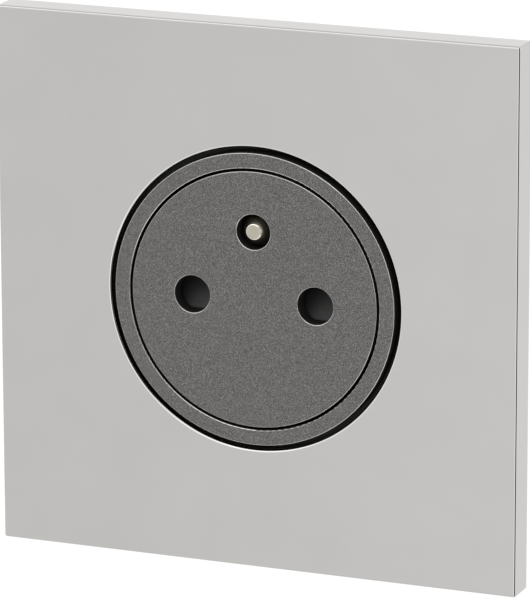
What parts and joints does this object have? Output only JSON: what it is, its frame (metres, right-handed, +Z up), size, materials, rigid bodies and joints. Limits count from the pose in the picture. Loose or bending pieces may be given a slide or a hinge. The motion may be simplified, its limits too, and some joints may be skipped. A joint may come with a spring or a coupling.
{
  "type": "wall socket",
  "caption": "Flush square wall socket with a fixed earth pin, a sprung round face that the plug pushes in, shutters behind the pin holes, screw terminals and a screw-fixed steel frame.",
  "frame": {"origin": "centre of the socket in the wall's surface, which is also the centre of the box screw pattern", "axes": "+Y into the wall, so the front faces -Y; +Z up, with the earth pin above the pin holes; +X to the right for someone who faces the socket"},
  "size_m": [0.08, 0.0396, 0.08],
  "materials": {
    "chrome_plating": "mirror-polished chrome plating on cast zinc",
    "charcoal_finish": "fine charcoal metallic, semi-matt",
    "black_plastic": "matt moulded thermoplastic",
    "grey_plastic": "matt moulded thermoplastic",
    "white_plastic": "matt moulded thermoset",
    "zinc_steel": "zinc-plated sheet",
    "spring_steel": "drawn spring wire",
    "brass": "plain",
    "nickel_brass": "nickel-plated, turned"
  },
  "bodies": {
    "housing": {"cover_plate": "chrome_plating", "trim_ring": "charcoal_finish", "plate_carrier": "black_plastic", "support_frame": "zinc_steel", "well_body": "black_plastic", "contact_cover": "grey_plastic", "rear_housing": "white_plastic", "return_spring": "spring_steel", "line_contact": "brass", "neutral_contact": "brass", "earth_pin": "nickel_brass", "earth_strip": "brass", "line_terminal": "brass", "neutral_terminal": "brass", "earth_terminal": "brass", "line_terminal_screw": "zinc_steel", "neutral_terminal_screw": "zinc_steel", "earth_terminal_screw": "zinc_steel"},
    "face": {"socket_face": "charcoal_finish", "face_carriage": "black_plastic", "shutter_spring": "spring_steel"},
    "shutter": {"shutter": "grey_plastic"}
  },
  "joints": [
    {"name": "face_slide", "type": "slide", "parent": "housing", "child": "face", "axis": [0, 1, 0], "range_m": [0, 0.015], "stiffness_N_per_m": 300, "springref_m": -0.01, "deforming": ["return_spring"]},
    {"name": "shutter_slide", "type": "slide", "parent": "face", "child": "shutter", "axis": [0, 0, -1], "range_m": [0, 0.0062], "stiffness_N_per_m": 50, "springref_m": -0.006, "deforming": ["shutter_spring"]}
  ]
}
